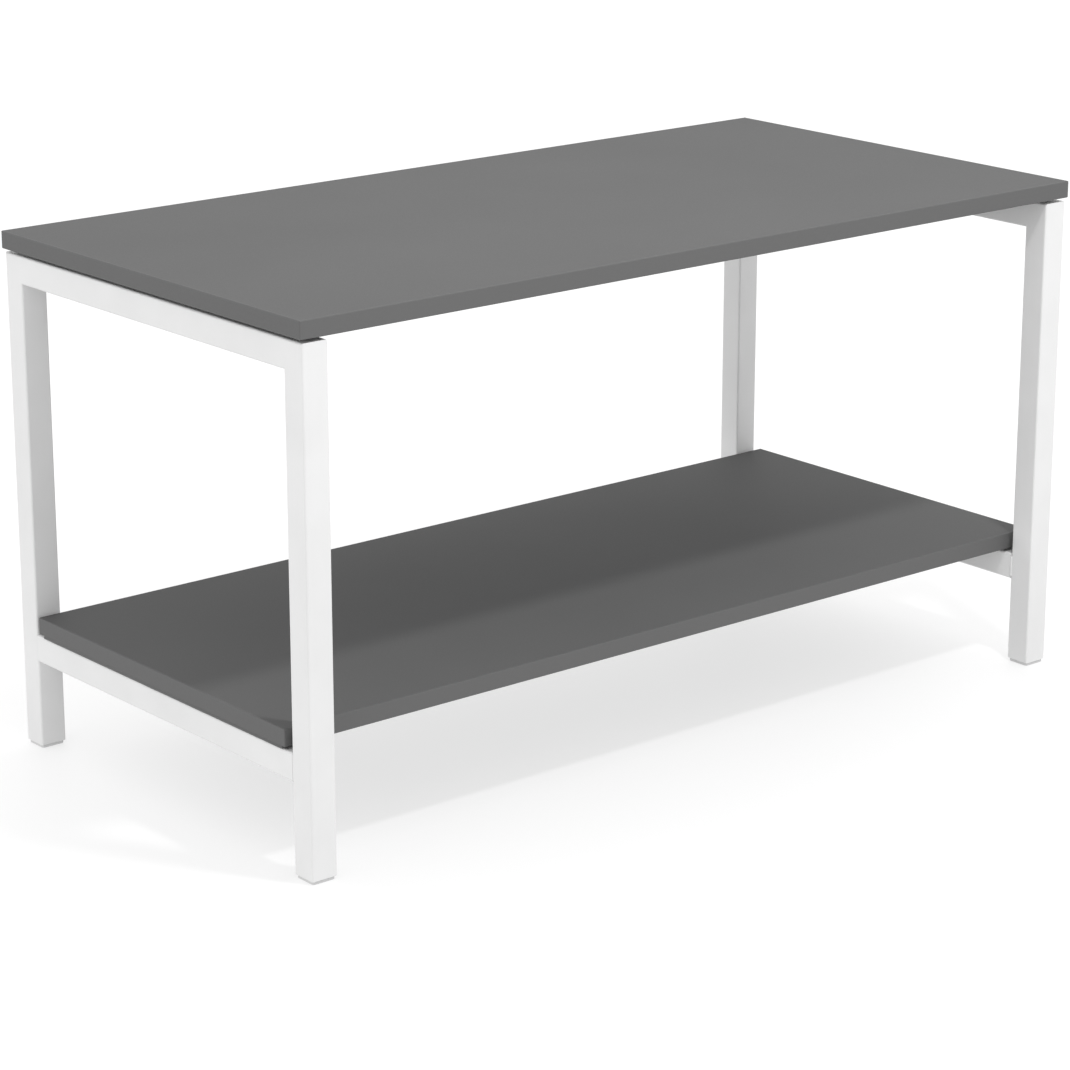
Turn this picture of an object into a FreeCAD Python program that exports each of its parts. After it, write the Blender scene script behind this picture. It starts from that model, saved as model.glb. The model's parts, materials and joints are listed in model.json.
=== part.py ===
import FreeCAD, Part
import Sketcher
import math
import os

# Work table: a top and a shelf of faced board on two welded end frames of square tube.
# Millimetres, +Z up. The origin is on the floor under the middle of the top.
# The long front is at -Y and the left end at -X. Pieces are drawn at the front left corner
# and mirrored to the others.

driving = {
    # Boards
    "table_height": 750,
    "top_length": 1400,
    "top_depth": 700,
    "board_thickness": 25,
    "band_thickness": 2,
    "band_radius": 1.5,
    "shelf_height": 202,
    "shelf_end_inset": 0.5,
    "shelf_leg_clear": 11,
    # End frames
    "tube_size": 40,
    "tube_wall": 2,
    "tube_radius": 3,
    "bore_radius": 1,
    "frame_end_inset": 4,
    "frame_side_inset": 2,
    "shadow_gap": 5,
    # Beams under the top and their end plates
    "beam_setback": 190,
    "beam_width": 20,
    "beam_height": 40,
    "beam_wall": 2,
    "beam_radius": 2.5,
    "beam_bore_radius": 0.8,
    "plate_thickness": 4,
    "plate_length": 72,
    "plate_margin": 2,
    "plate_radius": 4,
    "plate_bolt_spacing": 50,
    "plate_bolt_diameter": 6,
    "plate_bolt_width": 10,
    "plate_bolt_head": 4,
    "plate_bolt_reach": 11,
    "rivet_diameter": 9,
    "rivet_length": 13,
    "rivet_bulge_diameter": 12,
    "rivet_bulge_length": 3,
    # Screws that hold the boards, with a flange and a low crown
    "screw_diameter": 6,
    "screw_reach": 12,
    "screw_flange_diameter": 13.6,
    "screw_flange": 0.9,
    "screw_crown_diameter": 10.5,
    "screw_crown_top": 7,
    "screw_head": 3.3,
    "socket_width": 4,
    "socket_depth": 2,
    "spacer_diameter": 20,
    "insert_diameter": 12,
    "insert_length": 15,
    "top_screw_inset": 112,
    "beam_screw_inset": 300,
    "shelf_screw_inset": 100,
    # Levelling feet
    "foot_height": 5,
    "lip_thickness": 1.5,
    "plug_length": 24,
    "plug_wall": 2,
    "plug_gap": 1,
    "fin_height": 1.5,
    "fin_spacing": 6,
    "web_thickness": 2,
    "boss_diameter": 20,
    "recess_diameter": 16.5,
    "nut_width": 13,
    "nut_height": 6.5,
    "stud_diameter": 8,
    "stud_length": 30,
    "stud_tip": 1,
    "stud_hex_width": 13,
    "stud_hex_height": 4,
    "stud_hex_gap": 1.5,
    "neck_diameter": 6,
    "button_diameter": 11,
    "button_height": 1.6,
    "pad_inset": 2,
    "pad_radius": 4,
    "pad_height": 4,
    "pad_bevel": 0.5,
    "pad_floor": 1,
    # Clearances on each side, and how far a cutting shape runs past what it cuts
    "running_clear": 0.05,
    "fit_clear": 0.05,
    "hole_clear": 0.5,
    "cut_overrun": 1,
}

worked_out = {
    "frame_left": "-size.top_length / 2 + size.frame_end_inset",
    "frame_front": "-size.top_depth / 2 + size.frame_side_inset",
    "frame_top": "size.table_height - size.board_thickness - size.shadow_gap",
    "leg_x": "frame_left + size.tube_size / 2",
    "leg_y": "frame_front + size.tube_size / 2",
    "leg_bottom": "size.foot_height + size.lip_thickness",
    "leg_length": "frame_top - leg_bottom",
    "tube_bore": "size.tube_size - 2 * size.tube_wall",
    "rail_face": "frame_left + size.tube_size",
    "rail_length": "-2 * frame_front",
    "rail_bottom": "frame_top - size.tube_size",
    "rail_middle": "frame_top - size.tube_size / 2",
    "top_bottom": "size.table_height - size.board_thickness",
    "shelf_length": "size.top_length - 2 * size.shelf_end_inset",
    "shelf_rail_length": "rail_length - 2 * size.tube_size",
    "shelf_depth": "shelf_rail_length - 2 * size.shelf_leg_clear",
    "shelf_bottom": "size.shelf_height - size.board_thickness",
    "shelf_rail_bottom": "shelf_bottom - size.shadow_gap - size.tube_size",
    "shelf_rail_middle": "shelf_rail_bottom + size.tube_size / 2",
    "beam_y": "-size.top_depth / 2 + size.beam_setback",
    "beam_bottom": "frame_top - size.beam_height",
    "beam_middle": "frame_top - size.beam_height / 2",
    "beam_length": "-2 * (rail_face + size.plate_thickness)",
    "beam_screw_x": "-size.top_length / 2 + size.beam_screw_inset",
    "top_screw_y": "-size.top_depth / 2 + size.top_screw_inset",
    "shelf_screw_y": "-shelf_depth / 2 + size.shelf_screw_inset",
    "screw_hole": "size.screw_diameter + 2 * size.hole_clear",
    "skirt_width": "tube_bore - 2 * size.plug_gap",
    "skirt_bore": "skirt_width - 2 * size.plug_wall",
    "fin_width": "tube_bore - 2 * size.fit_clear",
    "plug_top": "leg_bottom + size.plug_length",
    "nut_bottom": "plug_top - size.nut_height",
    "hex_bottom": "size.foot_height + size.stud_hex_gap",
    "hex_top": "hex_bottom + size.stud_hex_height",
    "button_top": "size.pad_floor + size.button_height",
    "pad_size": "size.tube_size - 2 * size.pad_inset",
}

plug_fins = 3

doc = FreeCAD.newDocument("WorkTable")
nodes = []


# The two sheets: sizes that can be set, and places worked out from them

def make_sheet(name, cells):
    sheet = doc.addObject("Spreadsheet::Sheet", name)
    for row, (alias, content) in enumerate(cells.items(), 1):
        sheet.set(f"A{row}", alias)
        sheet.set(f"B{row}", content)
        sheet.setAlias(f"B{row}", alias)
    return sheet


sizes = make_sheet("size", {alias: str(number) for alias, number in driving.items()})
places = make_sheet("place", {alias: "=" + formula for alias, formula in worked_out.items()})
doc.recompute()


def value(expression):
    return float(sizes.evalExpression(expression))


# Building blocks, each bound to the sheets by its expressions

def bind(thing, **expressions):
    for name, expression in expressions.items():
        thing.setExpression(name, expression)
    return thing


def locate(thing, x="0", y="0", z="0"):
    for axis, expression in zip("xyz", (x, y, z)):
        thing.setExpression(f"Placement.Base.{axis}", expression)
    return thing


def along_x(thing):
    thing.Placement.Rotation = FreeCAD.Rotation(FreeCAD.Vector(0, 1, 0), 90)
    return thing


def box(name, length, width, height):
    return bind(doc.addObject("Part::Box", name), Length=length, Width=width, Height=height)


def cylinder(name, diameter, height):
    round_bar = doc.addObject("Part::Cylinder", name)
    return bind(round_bar, Radius=f"({diameter}) / 2", Height=height)


def cone(name, bottom_diameter, top_diameter, height):
    taper = doc.addObject("Part::Cone", name)
    return bind(taper, Radius1=f"({bottom_diameter}) / 2", Radius2=f"({top_diameter}) / 2", Height=height)


def hexagon(name, across_flats, height):
    prism = doc.addObject("Part::Prism", name)
    prism.Polygon = 6
    return bind(prism, Circumradius=f"({across_flats}) / (2 * cos(30))", Height=height)


def fuse(name, pieces):
    joined = doc.addObject("Part::MultiFuse", name)
    joined.Shapes = pieces
    return joined


def gather(name, pieces):
    compound = doc.addObject("Part::Compound", name)
    compound.Links = pieces
    return compound


def cut(name, base, tools):
    trimmed = doc.addObject("Part::Cut", name)
    trimmed.Base = base
    trimmed.Tool = tools[0] if len(tools) == 1 else gather(name + "_cutters", tools)
    return trimmed


def mirror(source, x=0, y=0):
    flipped = doc.addObject("Part::Mirroring", source.Name + "_mirror")
    flipped.Source = source
    flipped.Normal = FreeCAD.Vector(x, y, 0)
    return flipped


def at_each_end(left):
    return {"left": left, "right": mirror(left, x=1)}


def at_each_side(front):
    return {"front": front, "back": mirror(front, y=1)}


def at_each_corner(piece):
    return {
        f"{side}_{end}": copy
        for side, half in at_each_side(piece).items()
        for end, copy in at_each_end(half).items()
    }


def keep(piece, label):
    piece.Label = label
    nodes.append(piece)


def keep_all(copies, label):
    for where, piece in copies.items():
        keep(piece, f"{label}_{where}")


# Sketches: a rounded rectangle about the origin, and a polygon through given points

def new_sketch(body, name, plane):
    sketch = body.newObject("Sketcher::SketchObject", name)
    (support,) = [feature for feature in body.Origin.OriginFeatures if feature.Role == plane]
    sketch.AttachmentSupport = [(support, "")]
    sketch.MapMode = "FlatFace"
    return sketch


def constrain(sketch, kind, *where, to=None):
    if to is None:
        sketch.addConstraint(Sketcher.Constraint(kind, *where))
        return
    index = sketch.addConstraint(Sketcher.Constraint(kind, *where, value(to)))
    sketch.setExpression(f"Constraints[{index}]", to)


def draw_rounded(sketch, width, height, radius):
    first = sketch.GeometryCount
    r = value(radius)
    flat = value(width) / 2 - r, value(height) / 2 - r
    axis = FreeCAD.Vector(0, 0, 1)
    arcs = []
    for quarter, (sx, sy) in enumerate(((1, 1), (-1, 1), (-1, -1), (1, -1))):
        start = quarter * math.pi / 2
        circle = Part.Circle(FreeCAD.Vector(sx * flat[0], sy * flat[1], 0), axis, r)
        arcs.append(Part.ArcOfCircle(circle, start, start + math.pi / 2))
    sides = [
        Part.LineSegment(arc.EndPoint, after.StartPoint)
        for arc, after in zip(arcs, arcs[1:] + arcs[:1])
    ]
    sketch.addGeometry(arcs + sides, False)
    arc_ids = range(first, first + 4)
    top, left, bottom, right = side_ids = range(first + 4, first + 8)
    for corner in range(4):
        constrain(sketch, "Tangent", arc_ids[corner], 2, side_ids[corner], 1)
        constrain(sketch, "Tangent", side_ids[corner], 2, arc_ids[(corner + 1) % 4], 1)
    for arc in arc_ids[1:]:
        constrain(sketch, "Equal", first, arc)
    for side in (top, bottom):
        constrain(sketch, "Horizontal", side)
    for side in (left, right):
        constrain(sketch, "Vertical", side)
    constrain(sketch, "Symmetric", first, 3, first + 2, 3, -1, 1)
    constrain(sketch, "Radius", first, to=radius)
    constrain(sketch, "DistanceX", left, 1, right, 1, to=width)
    constrain(sketch, "DistanceY", bottom, 1, top, 1, to=height)


def draw_polygon(sketch, points):
    first = sketch.GeometryCount
    corners = [FreeCAD.Vector(value(x), value(y), 0) for x, y in points]
    for start, end in zip(corners, corners[1:] + corners[:1]):
        sketch.addGeometry(Part.LineSegment(start, end), False)
    for index, (x, y) in enumerate(points):
        line = first + index
        constrain(sketch, "Coincident", line, 2, first + (index + 1) % len(points), 1)
        constrain(sketch, "DistanceX", -1, 1, line, 1, to=x)
        constrain(sketch, "DistanceY", -1, 1, line, 1, to=y)


def pad(body, sketch, length, middle=False):
    feature = body.newObject("PartDesign::Pad", sketch.Name + "_pad")
    feature.Profile = sketch
    feature.Midplane = middle
    return bind(feature, Length=length)


def pocket_through(body, sketch, width):
    feature = body.newObject("PartDesign::Pocket", sketch.Name + "_pocket")
    feature.Profile = sketch
    feature.Midplane = True
    return bind(feature, Length=width)


def block(name, width, depth, radius, height):
    body = doc.addObject("PartDesign::Body", name)
    section = new_sketch(body, name + "_section", "XY_Plane")
    draw_rounded(section, width, depth, radius)
    pad(body, section, height)
    return body


def tube(name, section_size, bore_size, length, plane):
    body = doc.addObject("PartDesign::Body", name)
    section = new_sketch(body, name + "_section", plane)
    draw_rounded(section, *section_size)
    draw_rounded(section, *bore_size)
    pad(body, section, length, middle=plane != "XY_Plane")
    return body


frame_section = ("size.tube_size", "size.tube_size", "size.tube_radius")
frame_bore = ("place.tube_bore", "place.tube_bore", "size.bore_radius")


# Boards: a core with blind holes for its inserts, and four bands round its edges

def edge_band(name, length, height, round_ends):
    body = doc.addObject("PartDesign::Body", name)
    strip = body.newObject("PartDesign::AdditiveBox", name + "_strip")
    bind(strip, Length=length, Width="size.band_thickness", Height=height)
    doc.recompute()
    inner = value("size.band_thickness")
    ends = (0, value(length))
    edges = []
    for number, edge in enumerate(strip.Shape.Edges, 1):
        middle = edge.CenterOfMass
        at_end = any(math.isclose(middle.x, end, abs_tol=inner / 4) for end in ends)
        if middle.y < inner * 3 / 4 and (round_ends or not at_end):
            edges.append(f"Edge{number}")
    softened = body.newObject("PartDesign::Fillet", name + "_softened")
    softened.Base = (strip, edges)
    bind(softened, Radius="size.band_radius")
    return body


def make_board(label, length, depth, bottom, screw_places):
    core_length = f"({length} - 2 * size.band_thickness)"
    core_depth = f"({depth} - 2 * size.band_thickness)"
    core = locate(
        box(label + "_core", core_length, core_depth, "size.board_thickness"),
        f"-{core_length} / 2", f"-{core_depth} / 2", bottom,
    )
    holes = []
    for x, y in screw_places:
        hole = cylinder(
            label + "_hole",
            "size.insert_diameter + 2 * size.fit_clear",
            "size.insert_length + size.fit_clear + size.cut_overrun",
        )
        holes += at_each_corner(locate(hole, x, y, f"{bottom} - size.cut_overrun")).values()
    keep(cut(label + "_panel", core, holes), label + "_panel")

    front = edge_band(label + "_long_band", length, "size.board_thickness", round_ends=True)
    locate(front, f"-{length} / 2", f"-{depth} / 2", bottom)
    keep_all(at_each_side(front), label + "_edge")
    left = edge_band(label + "_short_band", core_depth, "size.board_thickness", round_ends=False)
    left.Placement.Rotation = FreeCAD.Rotation(FreeCAD.Vector(0, 0, 1), -90)
    locate(left, f"-{length} / 2", f"{core_depth} / 2", bottom)
    keep_all(at_each_end(left), label + "_edge")


# The places of the screws at the front left: on the rails, and on the beams under the top
rail_screw = ("place.leg_x", "place.top_screw_y")
beam_screw = ("place.beam_screw_x", "place.beam_y")
shelf_screw = ("place.leg_x", "place.shelf_screw_y")

make_board("top", "size.top_length", "size.top_depth", "place.top_bottom", [rail_screw, beam_screw])
make_board("shelf", "place.shelf_length", "place.shelf_depth", "place.shelf_bottom", [shelf_screw])


# End frames: legs and top rails mitred at the corners, shelf rails butted between the legs

def upright_hole(name, diameter, x, y, bottom, height):
    drill = cylinder(name, diameter, f"{height} + 2 * size.cut_overrun")
    return locate(drill, x, y, f"{bottom} - size.cut_overrun")


def make_legs():
    leg = tube("leg", frame_section, frame_bore, "place.leg_length", "XY_Plane")
    mitre = new_sketch(leg, "leg_mitre", "YZ_Plane")
    out = "(size.tube_size / 2 + size.cut_overrun)"
    above = "(place.leg_length + size.cut_overrun)"
    draw_polygon(mitre, [(f"-{out}", above), (out, f"{above} - 2 * {out}"), (out, above)])
    pocket_through(leg, mitre, f"2 * {out}")
    locate(leg, "place.leg_x", "place.leg_y", "place.leg_bottom")
    keep_all(at_each_corner(leg), "leg")


def make_top_rails():
    rail = tube("top_rail", frame_section, frame_bore, "place.rail_length", "XZ_Plane")
    mitres = new_sketch(rail, "top_rail_mitres", "YZ_Plane")
    out = "(size.tube_size / 2 + size.cut_overrun)"
    end = "(place.rail_length / 2 + size.cut_overrun)"
    for sign, inward in (("-", "+"), ("+", "-")):
        tip = f"{sign}{end}"
        heel = f"{tip} {inward} 2 * {out}"
        draw_polygon(mitres, [(tip, out), (tip, f"-{out}"), (heel, f"-{out}")])
    pocket_through(rail, mitres, f"2 * {out}")
    locate(rail, "place.leg_x", "0", "place.rail_middle")

    x, y = rail_screw
    drill = upright_hole("rail_drill", "place.screw_hole", x, y, "place.rail_bottom", "size.tube_size")
    holes = [*at_each_side(drill).values()]
    for sign in ("-", "+"):
        rivet_hole = cylinder(
            "rivet_hole",
            "size.rivet_diameter + 2 * size.fit_clear",
            "size.tube_wall + 2 * size.cut_overrun",
        )
        locate(
            along_x(rivet_hole),
            "place.rail_face - size.tube_wall - size.cut_overrun",
            f"place.beam_y {sign} size.plate_bolt_spacing / 2",
            "place.rail_middle",
        )
        holes += at_each_side(rivet_hole).values()
    keep_all(at_each_end(cut("top_rail_drilled", rail, holes)), "top_rail")


def make_shelf_rails():
    rail = tube("shelf_rail", frame_section, frame_bore, "place.shelf_rail_length", "XZ_Plane")
    locate(rail, "place.leg_x", "0", "place.shelf_rail_middle")
    x, y = shelf_screw
    drill = upright_hole("shelf_drill", "place.screw_hole", x, y, "place.shelf_rail_bottom", "size.tube_size")
    drilled = cut("shelf_rail_drilled", rail, list(at_each_side(drill).values()))
    keep_all(at_each_end(drilled), "shelf_rail")


make_legs()
make_top_rails()
make_shelf_rails()


# Beams under the top: flat tube with a bolted plate at each end

def make_beams():
    beam = tube(
        "beam",
        ("size.beam_width", "size.beam_height", "size.beam_radius"),
        (
            "size.beam_width - 2 * size.beam_wall",
            "size.beam_height - 2 * size.beam_wall",
            "size.beam_bore_radius",
        ),
        "place.beam_length",
        "YZ_Plane",
    )
    locate(beam, "0", "place.beam_y", "place.beam_middle")
    x, y = beam_screw
    drill = upright_hole("beam_drill", "place.screw_hole", x, y, "place.beam_bottom", "size.beam_height")
    keep_all(at_each_side(cut("beam_drilled", beam, list(at_each_end(drill).values()))), "beam")


def make_beam_plates():
    height = "(size.tube_size - 2 * size.plate_margin)"
    plate = doc.addObject("PartDesign::Body", "beam_plate")
    outline = new_sketch(plate, "beam_plate_outline", "YZ_Plane")
    draw_rounded(outline, "size.plate_length", height, "size.plate_radius")
    pad(plate, outline, "size.plate_thickness")
    locate(plate, "place.rail_face", "place.beam_y", "place.rail_middle")
    holes, bolts, rivets = [], [], []
    for sign in ("-", "+"):
        y = f"place.beam_y {sign} size.plate_bolt_spacing / 2"
        hole = cylinder(
            "plate_hole",
            "size.plate_bolt_diameter + 2 * size.hole_clear",
            "size.plate_thickness + 2 * size.cut_overrun",
        )
        holes.append(locate(along_x(hole), "place.rail_face - size.cut_overrun", y, "place.rail_middle"))
        bolts.append(plate_bolt(y))
        rivets.append(rivet_nut(y))
    keep_all(at_each_corner(cut("beam_plate_drilled", plate, holes)), "beam_plate")
    for label, pieces in (("beam_bolts", bolts), ("rivet_nuts", rivets)):
        keep(gather(label, [copy for piece in pieces for copy in at_each_corner(piece).values()]), label)


def plate_bolt(y):
    head = hexagon("plate_bolt_head", "size.plate_bolt_width", "size.plate_bolt_head")
    locate(along_x(head), "place.rail_face + size.plate_thickness", y, "place.rail_middle")
    shank = cylinder(
        "plate_bolt_shank", "size.plate_bolt_diameter", "size.plate_thickness + size.plate_bolt_reach"
    )
    locate(along_x(shank), "place.rail_face - size.plate_bolt_reach", y, "place.rail_middle")
    return fuse("plate_bolt", [head, shank])


def rivet_nut(y):
    inner_end = "place.rail_face - size.rivet_length"
    barrel = cylinder("rivet_barrel", "size.rivet_diameter", "size.rivet_length")
    locate(along_x(barrel), inner_end, y, "place.rail_middle")
    bulge = cylinder("rivet_bulge", "size.rivet_bulge_diameter", "size.rivet_bulge_length")
    behind_wall = "place.rail_face - size.tube_wall - size.rivet_bulge_length"
    locate(along_x(bulge), behind_wall, y, "place.rail_middle")
    thread = cylinder(
        "rivet_thread",
        "size.plate_bolt_diameter + 2 * size.fit_clear",
        "size.rivet_length + 2 * size.cut_overrun",
    )
    locate(along_x(thread), f"{inner_end} - size.cut_overrun", y, "place.rail_middle")
    return cut("rivet_nut", fuse("rivet_body", [barrel, bulge]), [thread])


make_beams()
make_beam_plates()


# Board fixings: a screw up through the tube, a spacer in the shadow gap, an insert in the board

def ring(name, diameter, bore, height):
    disc = cylinder(name + "_disc", diameter, height)
    hole = cylinder(name + "_bore", bore, f"{height} + 2 * size.cut_overrun")
    locate(hole, z="-size.cut_overrun")
    return cut(name, disc, [hole])


def board_screw(x, y, carrier_bottom, carrier_height):
    head_bottom = f"{carrier_bottom} - size.screw_head"
    flange = cylinder("screw_flange", "size.screw_flange_diameter", "size.screw_flange")
    crown = cone(
        "screw_crown",
        "size.screw_crown_top",
        "size.screw_crown_diameter",
        "size.screw_head - size.screw_flange",
    )
    grip = f"{carrier_height} + size.shadow_gap"
    shank = cylinder("screw_shank", "size.screw_diameter", f"{grip} + size.screw_reach")
    socket = hexagon("screw_socket", "size.socket_width", "size.socket_depth + size.cut_overrun")
    solids = [
        locate(flange, x, y, f"{carrier_bottom} - size.screw_flange"),
        locate(crown, x, y, head_bottom),
        locate(shank, x, y, carrier_bottom),
    ]
    locate(socket, x, y, f"{head_bottom} - size.cut_overrun")
    return cut("board_screw", fuse("screw_solid", solids), [socket])


def make_fixings(board, seats):
    pieces = {"screws": [], "spacers": [], "inserts": []}
    threaded = "size.screw_diameter + 2 * size.fit_clear"
    for (x, y), carrier_bottom, carrier_height in seats:
        carrier_top = f"{carrier_bottom} + {carrier_height}"
        screw = board_screw(x, y, carrier_bottom, carrier_height)
        spacer = ring("spacer", "size.spacer_diameter", "place.screw_hole", "size.shadow_gap")
        locate(spacer, x, y, carrier_top)
        insert = ring("insert", "size.insert_diameter", threaded, "size.insert_length")
        locate(insert, x, y, f"{carrier_top} + size.shadow_gap")
        for kind, piece in zip(pieces, (screw, spacer, insert)):
            pieces[kind] += at_each_corner(piece).values()
    for kind, copies in pieces.items():
        keep(gather(f"{board}_{kind}", copies), f"{board}_{kind}")


make_fixings("top", [
    (rail_screw, "place.rail_bottom", "size.tube_size"),
    (beam_screw, "place.beam_bottom", "size.beam_height"),
])
make_fixings("shelf", [(shelf_screw, "place.shelf_rail_bottom", "size.tube_size")])


# Levelling feet: a finned plug with a captive nut in the leg, a stud with a hexagon and a button,
# and a square pad that holds the button and doesn't turn with it.
# At rest the stud is screwed right in, its hexagon against the roof of the plug's recess.

def at_leg(piece, z):
    return locate(piece, "place.leg_x", "place.leg_y", z)


def make_plugs():
    lip = block("plug_lip", *frame_section, "size.lip_thickness")
    at_leg(lip, "size.foot_height")
    skirt_hole = ("place.skirt_bore", "place.skirt_bore", "size.bore_radius")
    skirt_section = ("place.skirt_width", "place.skirt_width", "size.bore_radius")
    skirt = tube("plug_skirt", skirt_section, skirt_hole, "size.plug_length", "XY_Plane")
    solids = [lip, at_leg(skirt, "place.leg_bottom")]
    fin_section = ("place.fin_width", "place.fin_width", "size.bore_radius")
    for level in range(1, plug_fins + 1):
        fin = tube("plug_fin", fin_section, skirt_hole, "size.fin_height", "XY_Plane")
        solids.append(at_leg(fin, f"place.leg_bottom + {level} * size.fin_spacing"))
    boss = cylinder("plug_boss", "size.boss_diameter", "size.plug_length")
    solids.append(at_leg(boss, "place.leg_bottom"))
    across, thin = "place.skirt_width", "size.web_thickness"
    for length, width in ((across, thin), (thin, across)):
        web = box("plug_web", length, width, "size.plug_length")
        x, y = f"place.leg_x - {length} / 2", f"place.leg_y - {width} / 2"
        solids.append(locate(web, x, y, "place.leg_bottom"))
    recess = cylinder(
        "plug_recess", "size.recess_diameter", "place.hex_top - size.foot_height + size.cut_overrun"
    )
    bore = cylinder(
        "plug_bore",
        "size.stud_diameter + 2 * size.hole_clear",
        "place.plug_top - size.foot_height + size.cut_overrun",
    )
    pocket = hexagon(
        "nut_pocket", "size.nut_width + 2 * size.fit_clear", "size.nut_height + size.cut_overrun"
    )
    hollows = [
        at_leg(recess, "size.foot_height - size.cut_overrun"),
        at_leg(bore, "size.foot_height"),
        at_leg(pocket, "place.nut_bottom"),
    ]
    plug = cut("plug", fuse("plug_solid", solids), [fuse("plug_hollows", hollows)])
    keep_all(at_each_corner(plug), "foot_plug")


def make_nuts():
    hexagonal = hexagon("nut_hexagon", "size.nut_width", "size.nut_height")
    at_leg(hexagonal, "place.nut_bottom")
    thread = cylinder(
        "nut_thread",
        "size.stud_diameter + 2 * size.running_clear",
        "size.nut_height + 2 * size.cut_overrun",
    )
    at_leg(thread, "place.nut_bottom - size.cut_overrun")
    nut = cut("nut", hexagonal, [thread])
    keep(gather("foot_nuts", list(at_each_corner(nut).values())), "foot_nuts")


def make_studs():
    button = cylinder("stud_button", "size.button_diameter", "size.button_height")
    neck = cylinder("stud_neck", "size.neck_diameter", "place.hex_bottom - place.button_top")
    hexagonal = hexagon("stud_hexagon", "size.stud_hex_width", "size.stud_hex_height")
    shank = cylinder("stud_shank", "size.stud_diameter", "size.stud_length - size.stud_tip")
    tip = cone(
        "stud_tip", "size.stud_diameter", "size.stud_diameter - 2 * size.stud_tip", "size.stud_tip"
    )
    stud = fuse("stud", [
        at_leg(button, "size.pad_floor"),
        at_leg(neck, "place.button_top"),
        at_leg(hexagonal, "place.hex_bottom"),
        at_leg(shank, "place.hex_top"),
        at_leg(tip, "place.hex_top + size.stud_length - size.stud_tip"),
    ])
    keep_all(at_each_corner(stud), "foot_stud")


def make_pads():
    plate = block("pad_plate", "place.pad_size", "place.pad_size", "size.pad_radius", "size.pad_height")
    doc.recompute()
    sharp = plate.Group[-1]
    half = value("size.pad_height") / 2
    edges = [
        f"Edge{number}" for number, edge in enumerate(sharp.Shape.Edges, 1)
        if not math.isclose(edge.CenterOfMass.z, half, abs_tol=half / 4)
    ]
    bevelled = plate.newObject("PartDesign::Chamfer", "pad_bevelled")
    bevelled.Base = (sharp, edges)
    bind(bevelled, Size="size.pad_bevel")
    socket = cylinder(
        "pad_socket",
        "size.button_diameter + 2 * size.running_clear",
        "size.button_height + size.running_clear",
    )
    throat = cylinder(
        "pad_throat", "size.neck_diameter + 2 * size.running_clear", "size.pad_height + size.cut_overrun"
    )
    hollow = fuse("pad_hollow", [at_leg(socket, "size.pad_floor"), at_leg(throat, "size.pad_floor")])
    keep_all(at_each_corner(cut("pad", at_leg(plate, "0"), [hollow])), "foot_pad")


make_plugs()
make_nuts()
make_studs()
make_pads()


# Check everything, then write one file for each piece
doc.recompute()
failed = [thing.Name for thing in doc.Objects if {"Invalid", "Error"} & set(thing.State)]
failed += [node.Label for node in nodes if node.Shape.isNull() or not node.Shape.isValid()]
if failed:
    raise SystemExit("failed: " + ", ".join(failed))

os.makedirs("parts", exist_ok=True)
for node in nodes:
    node.Shape.exportStep(os.path.join("parts", node.Label + ".step"))
    print(f"{node.Label}: {len(node.Shape.Solids)} solids, {node.Shape.Volume:.0f} mm3")
print(f"{len(nodes)} pieces written")
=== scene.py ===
import bpy
import json
import math
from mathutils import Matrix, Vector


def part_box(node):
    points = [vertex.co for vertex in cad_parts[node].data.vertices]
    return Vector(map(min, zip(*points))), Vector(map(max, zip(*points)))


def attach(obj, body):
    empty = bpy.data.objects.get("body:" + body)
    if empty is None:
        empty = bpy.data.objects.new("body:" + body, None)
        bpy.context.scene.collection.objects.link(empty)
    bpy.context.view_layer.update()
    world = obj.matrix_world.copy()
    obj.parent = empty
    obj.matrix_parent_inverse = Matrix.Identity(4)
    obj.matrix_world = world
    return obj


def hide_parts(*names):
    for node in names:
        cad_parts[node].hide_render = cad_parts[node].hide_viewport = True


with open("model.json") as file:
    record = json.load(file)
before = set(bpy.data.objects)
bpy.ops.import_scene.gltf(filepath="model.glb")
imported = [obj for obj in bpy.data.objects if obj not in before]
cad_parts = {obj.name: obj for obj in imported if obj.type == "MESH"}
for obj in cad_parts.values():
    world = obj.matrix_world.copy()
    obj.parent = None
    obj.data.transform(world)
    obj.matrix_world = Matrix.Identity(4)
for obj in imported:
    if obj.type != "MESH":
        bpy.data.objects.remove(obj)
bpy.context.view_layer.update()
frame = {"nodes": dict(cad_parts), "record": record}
nodes = frame["nodes"]
mm = 0.001
modelling = {
    "mergeMm": 0.002,        # points nearer than this are one
    "smoothDegrees": 32,     # faces that meet at less are shaded smooth
}
print("frame loaded:", len(nodes), "pieces")


# Small tools for modelling and materials

def linear(hexColour):
    shares = [int(hexColour[at:at + 2], 16) / 255 for at in (1, 3, 5)]
    return [s / 12.92 if s <= 0.04045 else ((s + 0.055) / 1.055) ** 2.4 for s in shares] + [1]


def addNode(tree, kind, settings=(), links=()):
    node = tree.nodes.new(kind)
    for name, setting in dict(settings).items():
        if name in node.inputs:
            node.inputs[name].default_value = setting
        else:
            setattr(node, name, setting)
    for name, source in dict(links).items():
        tree.links.new(source, node.inputs[name])
    return node


def boxMm(node):  # a CAD piece's lowest corner, middle and highest corner
    low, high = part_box(node)
    return {"low": low / mm, "middle": (low + high) / 2 / mm, "high": high / mm}


def deselect():
    bpy.ops.object.select_all(action="DESELECT")


def activate(obj):
    deselect()
    obj.select_set(True)
    bpy.context.view_layer.objects.active = obj


def editMode(obj, picks="VERT"):
    activate(obj)
    bpy.ops.object.mode_set(mode="EDIT")
    bpy.ops.mesh.select_mode(type=picks)


def objectMode():
    bpy.ops.object.mode_set(mode="OBJECT")


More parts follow.
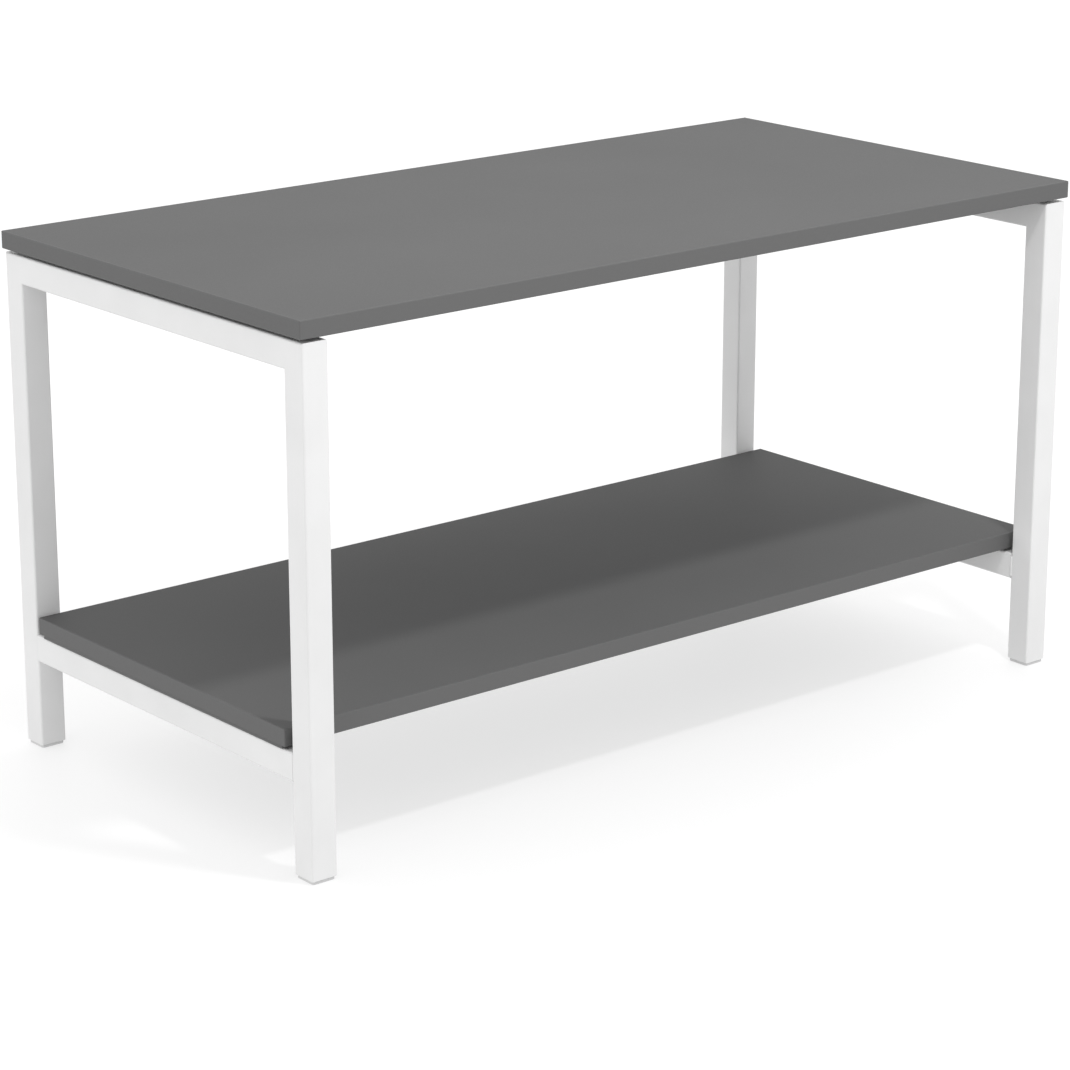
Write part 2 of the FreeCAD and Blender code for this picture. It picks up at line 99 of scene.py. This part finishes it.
def tidyMesh(obj):  # merges doubled points and points all faces outwards
    editMode(obj)
    bpy.ops.mesh.select_all(action="SELECT")
    bpy.ops.mesh.remove_doubles(threshold=modelling["mergeMm"] * mm)
    bpy.ops.mesh.normals_make_consistent(inside=False)
    objectMode()


def drawOut(obj, rings):  # draws a flat outline out ring by ring: (half its width, height) in mm
    editMode(obj, "FACE")
    bpy.ops.mesh.select_all(action="SELECT")
    for (before, low), (after, high) in zip(rings, rings[1:]):
        bpy.ops.mesh.extrude_region_move(TRANSFORM_OT_translate={"value": (0, 0, (high - low) * mm)})
        grow = after / before
        bpy.ops.transform.resize(value=(grow, grow, 1), center_override=(0, 0, 0))
    objectMode()
    tidyMesh(obj)
    return obj


def turned(name, rings, sides):  # a disc drawn out
    deselect()
    radius, height = rings[0]
    bpy.ops.mesh.primitive_circle_add(
        vertices=sides, radius=radius * mm, fill_type="NGON", location=(0, 0, height * mm))
    obj = bpy.context.object
    obj.name = obj.data.name = name
    bpy.ops.object.transform_apply()
    return drawOut(obj, rings)


def combine(obj, other, how):  # boolean of two closed shapes; the second one is used up
    activate(obj)
    modifier = obj.modifiers.new(how.lower(), "BOOLEAN")
    modifier.operation, modifier.object, modifier.solver = how, other, "EXACT"
    bpy.ops.object.modifier_apply(modifier=modifier.name)
    bpy.data.objects.remove(other)
    return obj


hexagons = {
    "chamferDegrees": 30,
    "faceShare": 0.95,               # the flat face's width as a share of the width across flats
    "clearShare": 1.02, "past": 0.5,   # the turned shape is clear of the corners, and past a plain end
    "sides": 72,
}


def hexHead(name, acrossFlats, low, high, chamfered):  # a hexagon with its corners turned off
    deselect()
    corner = acrossFlats / 2 / math.cos(math.pi / 6)
    bpy.ops.mesh.primitive_cylinder_add(
        vertices=6, radius=corner * mm, depth=(high - low) * mm, location=(0, 0, (low + high) / 2 * mm))
    obj = bpy.context.object
    obj.name = obj.data.name = name
    bpy.ops.object.transform_apply()
    face, outside = acrossFlats / 2 * hexagons["faceShare"], corner * hexagons["clearShare"]
    drop = (outside - face) * math.tan(math.radians(hexagons["chamferDegrees"]))
    rings = [(outside, low - hexagons["past"]), (outside, high + hexagons["past"])]
    if "low" in chamfered:
        rings[:1] = [(face, low), (outside, low + drop)]
    if "high" in chamfered:
        rings[-1:] = [(outside, high - drop), (face, high)]
    return combine(obj, turned(name + "Turning", rings, hexagons["sides"]), "INTERSECT")


def fourCorners(x, y, z):  # upright spots for copies
    return [((sx * x, sy * y, z), 0) for sy in (-1, 1) for sx in (-1, 1)]


def copies(name, source, spots):  # a spot is a place in mm and a turn about Y; the copies become one mesh
    placed = []
    for place, turn in spots:
        copy = source.copy()
        copy.data = source.data.copy()
        bpy.context.collection.objects.link(copy)
        copy.location = [p * mm for p in place]
        copy.rotation_euler = (0, turn, 0)
        placed.append(copy)
    activate(placed[0])
    for copy in placed:
        copy.select_set(True)
    bpy.ops.object.transform_apply(location=True, rotation=True, scale=True)
    if len(placed) > 1:
        bpy.ops.object.join()
    obj = bpy.context.object
    obj.name = obj.data.name = name
    return obj


def finishPiece(obj, body, slotName, replaced=()):
    activate(obj)
    bpy.ops.object.shade_smooth_by_angle(angle=math.radians(modelling["smoothDegrees"]))
    obj.data.materials.clear()
    obj.data.materials.append(finishes[slotName])
    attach(obj, body)
    if replaced:
        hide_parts(*replaced)
    print("made", obj.name, len(obj.data.polygons), "faces")


def newMaterial(name):
    material = bpy.data.materials.new(name)
    material.use_nodes = True
    tree = material.node_tree
    tree.nodes.clear()
    place = addNode(tree, "ShaderNodeTexCoord").outputs["Object"]
    return material, tree, place


def closeMaterial(tree, settings, links):
    surface = addNode(tree, "ShaderNodeBsdfPrincipled", settings, links)
    addNode(tree, "ShaderNodeOutputMaterial", links={"Surface": surface.outputs["BSDF"]})


# Materials. Patterns are sized in mm: a noise of scale s has cells about 1/s metres wide.

softNoise = {"Detail": 2, "Roughness": 0.5}
crispNoise = {"Detail": 3, "Roughness": 0.6}
oneNoise = {"From Min": 0.3, "From Max": 0.7}      # where most of a noise's values lie
twoNoises = {"From Min": 0.7, "From Max": 1.3}     # the same for the sum of two

# melamine-faced chipboard, pressed matt: an even grey with a soft sheen
pressedMelamine = {
    "dark": "#525252", "light": "#555555",
    "fleckMm": 2.2,      # the real fleck is about 0.3 mm, drawn coarser so that it shows
    "cloudMm": 240,      # slow change of shade over the pressed sheet
    "grainMm": 1.6,      # pressed pearl texture, really about 0.4 mm, drawn coarser
    "grainDepthMm": 0.02, "grainStrength": 0.5,
    "smoothest": 0.62, "roughest": 0.72,
    "ior": 1.5, "specular": 0.1,
}

# ABS edge band, extruded in the board's grey: smoother than the board, and a little lighter; its faces that
# point up get a painted darker shade
absEdging = {
    "dark": "#5d5d5d", "light": "#5f5f5f",
    "upFacingShade": "#545454",                # painted shade: the band's faces that point up take this darker grey, unlike its upright faces
    "upFacingShadeFrom": 0.5, "upFacingShadeFull": 0.9,      # how far up a face points where that shade starts and is full
    "fleckMm": 3, "cloudMm": 300,
    "grainMm": 2.4, "grainDepthMm": 0.012, "grainStrength": 0.5,
    "smoothest": 0.5, "roughest": 0.6,
    "ior": 1.53, "specular": 0.15,
}


def makeBoardFace(name, look):
    material, tree, place = newMaterial(name)
    fleck = addNode(tree, "ShaderNodeTexNoise", {
        "Scale": 1 / (look["fleckMm"] * mm), **crispNoise}, {"Vector": place})
    cloud = addNode(tree, "ShaderNodeTexNoise", {
        "Scale": 1 / (look["cloudMm"] * mm), **softNoise}, {"Vector": place})
    both = addNode(tree, "ShaderNodeMath", {"operation": "ADD"})
    tree.links.new(fleck.outputs["Fac"], both.inputs[0])
    tree.links.new(cloud.outputs["Fac"], both.inputs[1])
    spread = addNode(tree, "ShaderNodeMapRange", twoNoises, {"Value": both.outputs["Value"]})
    shade = addNode(tree, "ShaderNodeValToRGB", links={"Fac": spread.outputs["Result"]})
    shade.color_ramp.elements[0].color = linear(look["dark"])
    shade.color_ramp.elements[1].color = linear(look["light"])
    colour = shade.outputs["Color"]
    # painted shade: by how far the surface normal points up, the band's up-facing faces are mixed over to a
    # darker grey
    if "upFacingShade" in look:
        surface = addNode(tree, "ShaderNodeNewGeometry")
        facing = addNode(tree, "ShaderNodeSeparateXYZ", links={"Vector": surface.outputs["Normal"]})
        upFacingShare = addNode(tree, "ShaderNodeMapRange", {
            "From Min": look["upFacingShadeFrom"], "From Max": look["upFacingShadeFull"]}, {"Value": facing.outputs["Z"]})
        mixed = addNode(tree, "ShaderNodeMix", {"data_type": "RGBA"}, {"Factor": upFacingShare.outputs["Result"]})
        face, edge = [socket for socket in mixed.inputs if socket.type == "RGBA"]
        tree.links.new(colour, face)
        edge.default_value = linear(look["upFacingShade"])
        colour = next(socket for socket in mixed.outputs if socket.type == "RGBA")
    grain = addNode(tree, "ShaderNodeTexNoise", {
        "Scale": 1 / (look["grainMm"] * mm), **softNoise}, {"Vector": place})
    rough = addNode(tree, "ShaderNodeMapRange", {
        **oneNoise, "To Min": look["smoothest"], "To Max": look["roughest"],
    }, {"Value": grain.outputs["Fac"]})
    bump = addNode(tree, "ShaderNodeBump", {
        "Strength": look["grainStrength"], "Distance": look["grainDepthMm"] * mm,
    }, {"Height": grain.outputs["Fac"]})
    closeMaterial(tree, {"IOR": look["ior"], "Specular IOR Level": look["specular"]}, {
        "Base Color": colour, "Roughness": rough.outputs["Result"], "Normal": bump.outputs["Normal"]})
    return material


# polyester powder coat, baked: satin white with orange peel
whitePowderCoat = {
    "shade": "#d3d3d3", "bright": "#d7d7d7",
    "peelMm": 2.6,       # orange peel, really about 1 mm from crest to crest, drawn coarser
    "peelNoise": {"Detail": 1.5, "Roughness": 0.4},
    "peelDepthMm": 0.035, "peelStrength": 0.5,
    "cloudMm": 90,
    "smoothest": 0.34, "roughest": 0.44,
    "ior": 1.5, "specular": 0.32,
}


def makePowderCoat(name, look):
    material, tree, place = newMaterial(name)
    cloud = addNode(tree, "ShaderNodeTexNoise", {
        "Scale": 1 / (look["cloudMm"] * mm), **softNoise}, {"Vector": place})
    spread = addNode(tree, "ShaderNodeMapRange", oneNoise, {"Value": cloud.outputs["Fac"]})
    shade = addNode(tree, "ShaderNodeValToRGB", links={"Fac": spread.outputs["Result"]})
    shade.color_ramp.elements[0].color = linear(look["shade"])
    shade.color_ramp.elements[1].color = linear(look["bright"])
    peel = addNode(tree, "ShaderNodeTexNoise", {
        "Scale": 1 / (look["peelMm"] * mm), **look["peelNoise"]}, {"Vector": place})
    rough = addNode(tree, "ShaderNodeMapRange", {
        **oneNoise, "To Min": look["smoothest"], "To Max": look["roughest"],
    }, {"Value": peel.outputs["Fac"]})
    bump = addNode(tree, "ShaderNodeBump", {
        "Strength": look["peelStrength"], "Distance": look["peelDepthMm"] * mm,
    }, {"Height": peel.outputs["Fac"]})
    closeMaterial(tree, {"IOR": look["ior"], "Specular IOR Level": look["specular"]}, {
        "Base Color": shade.outputs["Color"], "Roughness": rough.outputs["Result"],
        "Normal": bump.outputs["Normal"]})
    return material


# polypropylene plugs, polyethylene pads and nylon spacers, injection moulded: soft light on a fine grain
mouldedPlug = {
    "dark": "#d2d2d2", "light": "#dadada", "smoothest": 0.5, "roughest": 0.6, "ior": 1.49, "specular": 0.4,
    "grainMm": 1.2, "grainDepthMm": 0.02, "grainStrength": 0.6,
}
mouldedPad = {
    "dark": "#c2c2c2", "light": "#cacaca", "smoothest": 0.55, "roughest": 0.68, "ior": 1.51, "specular": 0.4,
    "grainMm": 1.2, "grainDepthMm": 0.03, "grainStrength": 0.6,
}
blackNylon = {
    "dark": "#1b1b1c", "light": "#232324", "smoothest": 0.48, "roughest": 0.6, "ior": 1.53, "specular": 0.45,
    "grainMm": 1, "grainDepthMm": 0.02, "grainStrength": 0.6,
}


def makeMoulding(name, look):
    material, tree, place = newMaterial(name)
    grain = addNode(tree, "ShaderNodeTexNoise", {
        "Scale": 1 / (look["grainMm"] * mm), **crispNoise}, {"Vector": place})
    spread = addNode(tree, "ShaderNodeMapRange", oneNoise, {"Value": grain.outputs["Fac"]})
    shade = addNode(tree, "ShaderNodeValToRGB", links={"Fac": spread.outputs["Result"]})
    shade.color_ramp.elements[0].color = linear(look["dark"])
    shade.color_ramp.elements[1].color = linear(look["light"])
    rough = addNode(tree, "ShaderNodeMapRange", {
        "To Min": look["smoothest"], "To Max": look["roughest"]}, {"Value": spread.outputs["Result"]})
    bump = addNode(tree, "ShaderNodeBump", {
        "Strength": look["grainStrength"], "Distance": look["grainDepthMm"] * mm,
    }, {"Height": grain.outputs["Fac"]})
    closeMaterial(tree, {"IOR": look["ior"], "Specular IOR Level": look["specular"]}, {
        "Base Color": shade.outputs["Color"], "Roughness": rough.outputs["Result"],
        "Normal": bump.outputs["Normal"]})
    return material


# steel, electroplated with zinc and blue passivated: bright with a cool tint
zincPlate = {
    "dull": "#a9adb3", "bright": "#c3c7cc",
    "spangleMm": 1.4,    # patchy brightness of the bath, really finer
    "spangleNoise": {"Detail": 3, "Roughness": 0.55},
    "scratchMm": 0.35, "scratchDepthMm": 0.01, "scratchStrength": 0.4,
    "smoothest": 0.24, "roughest": 0.42,
}


def makeZinc(name, look):
    material, tree, place = newMaterial(name)
    spangle = addNode(tree, "ShaderNodeTexNoise", {
        "Scale": 1 / (look["spangleMm"] * mm), **look["spangleNoise"]}, {"Vector": place})
    spread = addNode(tree, "ShaderNodeMapRange", oneNoise, {"Value": spangle.outputs["Fac"]})
    shade = addNode(tree, "ShaderNodeValToRGB", links={"Fac": spread.outputs["Result"]})
    shade.color_ramp.elements[0].color = linear(look["dull"])
    shade.color_ramp.elements[1].color = linear(look["bright"])
    rough = addNode(tree, "ShaderNodeMapRange", {
        "To Min": look["smoothest"], "To Max": look["roughest"]}, {"Value": spread.outputs["Result"]})
    scratch = addNode(tree, "ShaderNodeTexNoise", {
        "Scale": 1 / (look["scratchMm"] * mm), **softNoise}, {"Vector": place})
    bump = addNode(tree, "ShaderNodeBump", {
        "Strength": look["scratchStrength"], "Distance": look["scratchDepthMm"] * mm,
    }, {"Height": scratch.outputs["Fac"]})
    closeMaterial(tree, {"Metallic": 1}, {
        "Base Color": shade.outputs["Color"], "Roughness": rough.outputs["Result"],
        "Normal": bump.outputs["Normal"]})
    return material


finishes = {
    "board": makeBoardFace("pressedMelamine", pressedMelamine),
    "edge_band": makeBoardFace("absEdging", absEdging),
    "frame_paint": makePowderCoat("whitePowderCoat", whitePowderCoat),
    "plug_plastic": makeMoulding("mouldedPlug", mouldedPlug),
    "pad_plastic": makeMoulding("mouldedPad", mouldedPad),
    "spacer_plastic": makeMoulding("blackNylon", blackNylon),
    "zinc_steel": makeZinc("zincPlate", zincPlate),
}
slotOf = {part["node"]: part["material_slot"] for part in frame["record"]["subparts"]}
for name, node in nodes.items():
    material = finishes[slotOf[name]]
    if node.material_slots:
        for place in node.material_slots:
            place.material = material
    else:
        node.data.materials.append(material)
print("materials set:", len(finishes))


# CAD pieces of the back right quarter that carry the new pieces; the other quarters mirror it

leg, topRail, shelfRail = boxMm("leg_back_right"), boxMm("top_rail_right"), boxMm("shelf_rail_right")
beam, plate, shelf = boxMm("beam_back"), boxMm("beam_plate_back_right"), boxMm("shelf_panel")


# Screws of the boards, with domed heads and a hexagon socket, and bolts of the beams, with hexagon heads

boardScrews = {
    # from the middle of the dome up over the flange to the shank's tip
    "rings": [(3.3, -3.3), (4.1, -3.15), (4.75, -2.7), (5.15, -1.95), (5.3, -1.05), (6.35, -0.95),
              (6.7, -0.7), (6.8, -0.4), (6.8, 0), (3, 0), (3, 56.4), (2.4, 57)],
    "sides": 48,
    "socketAcrossFlats": 4, "socketLow": -3.8, "socketHigh": -1.3,
    "topRailY": 238, "beamX": 400, "shelfRailY": 197,     # from the middle of the table
}
plateBolts = {
    "acrossFlats": 10, "head": 4,
    "shankRadius": 3, "shank": 15, "tip": 0.6, "overlap": 0.2, "sides": 32,
    "halfSpacing": 25,     # from the middle of the beam
}


def makeScrew(screw):  # head below z 0, shank above it
    low, high = screw["socketLow"], screw["socketHigh"]
    socket = hexHead("screwSocket", screw["socketAcrossFlats"], low, high, [])
    return combine(turned("boardScrew", screw["rings"], screw["sides"]), socket, "DIFFERENCE")


def makeBolt(bolt):  # head below z 0, shank above it
    obj = hexHead("plateBolt", bolt["acrossFlats"], -bolt["head"], 0, ["low"])
    radius, end, tip = bolt["shankRadius"], bolt["shank"], bolt["tip"]
    rings = [(radius, -bolt["overlap"]), (radius, end - tip), (radius - tip, end)]
    return combine(obj, turned("boltShank", rings, bolt["sides"]), "UNION")


boardScrew = makeScrew(boardScrews)
topSpots = fourCorners(topRail["middle"].x, boardScrews["topRailY"], topRail["low"].z)
topSpots += fourCorners(boardScrews["beamX"], beam["middle"].y, beam["low"].z)
shelfSpots = fourCorners(shelfRail["middle"].x, boardScrews["shelfRailY"], shelfRail["low"].z)
finishPiece(copies("topScrews", boardScrew, topSpots), "table", "zinc_steel", ["top_screws"])
finishPiece(copies("shelfScrews", boardScrew, shelfSpots), "table", "zinc_steel", ["shelf_screws"])
bpy.data.objects.remove(boardScrew)

plateBolt = makeBolt(plateBolts)
plateSpots = []
for end in (-1, 1):  # the head faces the middle of the table
    for side in (-1, 1):
        for step in (-1, 1):
            y = side * beam["middle"].y + step * plateBolts["halfSpacing"]
            plateSpots.append(((end * plate["low"].x, y, plate["middle"].z), end * math.pi / 2))
finishPiece(copies("beamBolts", plateBolt, plateSpots), "table", "zinc_steel", ["beam_bolts"])
bpy.data.objects.remove(plateBolt)


# Weld beads, painted over with the frame

weldBeads = {  # under and inside each shelf rail's ends, and down the beams' ends
    "length": 32, "radius": 2.3, "ripple": 0.35, "step": 1.3, "endRadius": 1.1, "sides": 16,
    "railSink": 1,
}
groundSeams = {  # on the outside of each shelf rail's ends, filled and ground flush
    "length": 37, "radius": 1.9, "ripple": 0.04, "step": 2.3, "endRadius": 1.2, "sides": 16,
    "railSink": 2, "legSink": 1.1,
}


def makeBead(name, bead):  # upright, about its own middle, with a ripple at each step
    steps = round(bead["length"] / bead["step"])
    rings = []
    for count in range(steps + 1):
        radius = bead["radius"] - (bead["ripple"] if count % 2 else 0)
        if count in (0, steps):
            radius = bead["endRadius"]
        rings.append((radius, (count / steps - 0.5) * bead["length"]))
    return turned(name, rings, bead["sides"])


bead, seam = makeBead("bead", weldBeads), makeBead("seam", groundSeams)
halfBeam = beam["high"].y - beam["middle"].y
beadSpots = []
for x in (-1, 1):
    railFace = x * (shelfRail["low"].x + weldBeads["railSink"])
    for y in (-1, 1):
        legFace = y * leg["low"].y
        beadSpots.append(((x * shelfRail["middle"].x, legFace, shelfRail["low"].z), math.pi / 2))
        beadSpots.append(((railFace, legFace, shelfRail["middle"].z), 0))
        for side in (-1, 1):
            beamSide = y * beam["middle"].y + side * halfBeam
            beadSpots.append(((x * plate["low"].x, beamSide, beam["middle"].z), 0))
seamSpots = fourCorners(shelfRail["high"].x - groundSeams["railSink"], leg["low"].y + groundSeams["legSink"],
                        shelfRail["middle"].z)
finishPiece(copies("weldBeads", bead, beadSpots), "table", "frame_paint")
finishPiece(copies("groundSeams", seam, seamSpots), "table", "frame_paint")
for pattern in (bead, seam):
    bpy.data.objects.remove(pattern)


# Packing strips that close the gap between the shelf and its rails, in the edge bands' grey

packingStrip = {"width": 9, "setBack": 7, "edgeRadius": 0.6, "edgeSteps": 3}


def makeStrip(look, length, height):  # lies along Y, with rounded edges
    deselect()
    bpy.ops.mesh.primitive_cube_add(size=1)
    obj = bpy.context.object
    obj.scale = [s * mm for s in (look["width"], length, height)]
    bpy.ops.object.transform_apply()
    editMode(obj)
    bpy.ops.mesh.select_all(action="SELECT")
    bpy.ops.mesh.bevel(offset=look["edgeRadius"] * mm, segments=look["edgeSteps"])
    objectMode()
    return obj


gapLow, gapHigh = shelfRail["high"].z, shelf["low"].z
strip = makeStrip(packingStrip, 2 * (shelf["high"].y - packingStrip["setBack"]), gapHigh - gapLow)
for end, x in (("Left", -1), ("Right", 1)):
    spot = [((x * (shelf["high"].x - packingStrip["width"] / 2), 0, (gapLow + gapHigh) / 2), 0)]
    finishPiece(copies("packingStrip" + end, strip, spot), "table", "edge_band")
bpy.data.objects.remove(strip)


# Levelling feet: threaded studs and moulded square pads

footStud = {
    "hexLow": 6.5, "hexHigh": 10.5, "acrossFlats": 13,
    "threadLow": 10.75, "pitch": 1.25, "turns": 22, "crest": 4, "root": 3.36, "crestFlat": 0.16,
    "tip": 1, "tipRadius": 2.9, "threadSides": 28,
    # neck and button, from the button's underside up
    "lowerRings": [(5.0, 1.02), (5.45, 1.3), (5.45, 2.3), (5.15, 2.58), (3.0, 2.58), (3.0, 6.7)],
    "lowerSides": 40,
    "undercutRings": [(3.36, 10.3), (3.36, 11.6)],
}
footPad = {
    # from the hollow underside over the rim and up the sides, which are 36 mm apart
    "rings": [(13.2, 0.4), (13.6, 0), (17.5, 0), (17.85, 0.15), (18, 0.5),
              (18, 3.5), (17.85, 3.85), (17.5, 4)],
    "cornerRadius": 3, "cornerSteps": 8,
    # the stud's socket, from its floor up to the mouth
    "socketRings": [(5.55, 1), (5.55, 2.66), (3.05, 2.66), (3.05, 3.6), (3.7, 4.25)],
    "socketSides": 48,
}


def selectRim(obj, above, middle):  # the open rim above or below a height
    editMode(obj)
    bpy.ops.mesh.select_all(action="DESELECT")
    bpy.ops.mesh.select_non_manifold(
        extend=False, use_wire=False, use_boundary=True, use_multi_face=False,
        use_non_contiguous=False, use_verts=False)
    objectMode()
    for point in obj.data.vertices:
        point.select = point.select and (point.co.z > middle) == above
    for edge in obj.data.edges:
        edge.select = edge.select and all(obj.data.vertices[at].select for at in edge.vertices)
    editMode(obj, "EDGE")


def makeThread(stud):  # a ridge profile screwed up round Z, its ends laid flat and closed
    pitch, root, crest, flat = stud["pitch"], stud["root"], stud["crest"], stud["crestFlat"]
    ridge = [(root, 0), (root, flat), (crest, (pitch - flat) / 2), (crest, (pitch + flat) / 2),
             (root, pitch)]
    deselect()
    bpy.ops.mesh.primitive_circle_add(vertices=len(ridge), radius=mm, fill_type="NOTHING")
    obj = bpy.context.object
    obj.name = obj.data.name = "studThread"
    for point, (radius, height) in zip(obj.data.vertices, ridge):
        point.co = (radius * mm, 0, (stud["threadLow"] + height) * mm)
    ends = {0, len(ridge) - 1}  # the edge between them goes
    for point in obj.data.vertices:
        point.select = point.index in ends
    for edge in obj.data.edges:
        edge.select = set(edge.vertices) == ends
    editMode(obj, "EDGE")
    bpy.ops.mesh.delete(type="EDGE")
    objectMode()
    screw = obj.modifiers.new("thread", "SCREW")
    screw.axis, screw.angle, screw.screw_offset = "Z", 2 * math.pi, pitch * mm
    screw.iterations = stud["turns"]
    screw.steps = screw.render_steps = stud["threadSides"]
    screw.use_merge_vertices = False
    activate(obj)
    bpy.ops.object.modifier_apply(modifier=screw.name)
    tidyMesh(obj)
    middle = (stud["threadLow"] + pitch * stud["turns"] / 2) * mm
    top = stud["threadLow"] + pitch * (stud["turns"] + 1)
    for above, level in ((False, stud["threadLow"]), (True, top)):
        selectRim(obj, above, middle)
        bpy.ops.transform.resize(value=(1, 1, 0), center_override=(0, 0, level * mm))
        objectMode()
        tidyMesh(obj)  # closes the end of the ridge
        selectRim(obj, above, middle)
        if above:  # the tip's lead-in
            narrow = stud["tipRadius"] / root
            bpy.ops.mesh.extrude_edges_move(TRANSFORM_OT_translate={"value": (0, 0, stud["tip"] * mm)})
            bpy.ops.transform.resize(value=(narrow, narrow, 1), center_override=(0, 0, 0))
        bpy.ops.mesh.edge_face_add()
        objectMode()
    tidyMesh(obj)
    return obj


def makeStud(stud):  # button and neck, hexagon and thread, each closed and set into the next
    hexagon = hexHead("stud", stud["acrossFlats"], stud["hexLow"], stud["hexHigh"], ["low", "high"])
    neck = turned("studNeck", stud["lowerRings"], stud["lowerSides"])
    undercut = turned("studUndercut", stud["undercutRings"], stud["threadSides"])
    thread = makeThread(stud)
    activate(hexagon)
    for piece in (neck, undercut, thread):
        piece.select_set(True)
    bpy.ops.object.join()
    return bpy.context.object


def makePad(look):  # a moulded square plate, with a socket that holds the stud's button
    deselect()
    half, height = look["rings"][0]
    bpy.ops.mesh.primitive_plane_add(size=2 * half * mm, location=(0, 0, height * mm))
    obj = bpy.context.object
    obj.name = obj.data.name = "pad"
    bpy.ops.object.transform_apply()
    editMode(obj)
    bpy.ops.mesh.select_all(action="SELECT")
    bpy.ops.mesh.bevel(offset=look["cornerRadius"] * mm, segments=look["cornerSteps"], affect="VERTICES")
    objectMode()
    socket = turned("padSocket", look["socketRings"], look["socketSides"])
    return combine(drawOut(obj, look["rings"]), socket, "DIFFERENCE")


stud, pad = makeStud(footStud), makePad(footPad)
for side, y in (("front", -1), ("back", 1)):
    for end, x in (("left", -1), ("right", 1)):
        corner = side + "_" + end
        spot = [((x * leg["middle"].x, y * leg["middle"].y, 0), 0)]
        name = side.capitalize() + end.capitalize()
        studCopy, padCopy = copies("footStud" + name, stud, spot), copies("footPad" + name, pad, spot)
        finishPiece(studCopy, "stud_" + corner, "zinc_steel", ["foot_stud_" + corner])
        finishPiece(padCopy, "pad_" + corner, "pad_plastic", ["foot_pad_" + corner])
for pattern in (stud, pad):
    bpy.data.objects.remove(pattern)
print("feet made")


# Stage: a pale lit floor, white surroundings, dimmer in front, and one soft key light above the front

paleFloor = {
    "radius": 40000, "sides": 96, "sink": 0.2,
    "colour": "#8c8c8c", "specular": 0.1,
    "glowColour": "#ffffff", "glow": 0.665,
    "patchesPerMetre": 3, "smoothest": 0.5, "roughest": 0.6,
}
deselect()
bpy.ops.mesh.primitive_circle_add(
    vertices=paleFloor["sides"], radius=paleFloor["radius"] * mm, fill_type="NGON",
    location=(0, 0, -paleFloor["sink"] * mm))
floor = bpy.context.object
floor.name = "floor"
floorMaterial, tree, place = newMaterial("paleFloor")
floorTone = addNode(tree, "ShaderNodeTexNoise", {
    "Scale": paleFloor["patchesPerMetre"], **softNoise}, {"Vector": place})
floorRough = addNode(tree, "ShaderNodeMapRange", {
    "To Min": paleFloor["smoothest"], "To Max": paleFloor["roughest"]}, {"Value": floorTone.outputs["Fac"]})
closeMaterial(tree, {
    "Base Color": linear(paleFloor["colour"]), "Specular IOR Level": paleFloor["specular"],
    "Emission Color": linear(paleFloor["glowColour"]), "Emission Strength": paleFloor["glow"],
}, {"Roughness": floorRough.outputs["Result"]})
floor.data.materials.append(floorMaterial)

whiteStudio = {"colour": "#ffffff", "front": 1.034, "elsewhere": 1.409}
world = bpy.data.worlds.new("whiteStudio")
bpy.context.scene.world = world
world.use_nodes = True
tree = world.node_tree
tree.nodes.clear()
direction = addNode(tree, "ShaderNodeTexCoord")
backward = addNode(tree, "ShaderNodeSeparateXYZ", links={"Vector": direction.outputs["Generated"]})
strength = addNode(tree, "ShaderNodeMapRange", {  # from straight in front round to the sides
    "From Min": -1, "From Max": 0, "To Min": whiteStudio["front"], "To Max": whiteStudio["elsewhere"],
}, {"Value": backward.outputs["Y"]})
sky = addNode(tree, "ShaderNodeBackground", {"Color": linear(whiteStudio["colour"])},
              {"Strength": strength.outputs["Result"]})
addNode(tree, "ShaderNodeOutputWorld", links={"Surface": sky.outputs["Background"]})

softKey = {"place": (84, -1640, 3380), "radius": 140, "watts": 192}
keyLight = bpy.data.lights.new("keyLight", "POINT")
keyLight.energy, keyLight.shadow_soft_size = softKey["watts"], softKey["radius"] * mm
key = bpy.data.objects.new("keyLight", keyLight)
bpy.context.collection.objects.link(key)
key.location = [p * mm for p in softKey["place"]]
key.visible_camera = False  # it hangs between the table and the camera in steep views

view = bpy.context.scene.view_settings
view.view_transform, view.look, view.exposure, view.gamma = "Standard", "None", 0, 1
print("stage set")


# Camera: fitted to the edges of the top, the shelf and the legs

camera = {
    "place": (-3076.4, -3665.5, 1716.9), "turn": -39.689, "pitch": 16.963,
    "focalPixels": 3404.6, "imagePixels": 1070, "sensorMm": 36,
    "clipEnd": 200000,
}
cameraData = bpy.data.cameras.new("camera")
cameraData.sensor_width = camera["sensorMm"]
cameraData.lens = camera["focalPixels"] * camera["sensorMm"] / camera["imagePixels"]
cameraData.clip_end = camera["clipEnd"] * mm
cameraObject = bpy.data.objects.new("camera", cameraData)
bpy.context.collection.objects.link(cameraObject)
cameraObject.location = [p * mm for p in camera["place"]]
cameraObject.rotation_euler = (math.radians(90 - camera["pitch"]), 0, math.radians(camera["turn"]))
bpy.context.scene.camera = cameraObject
print("camera set")
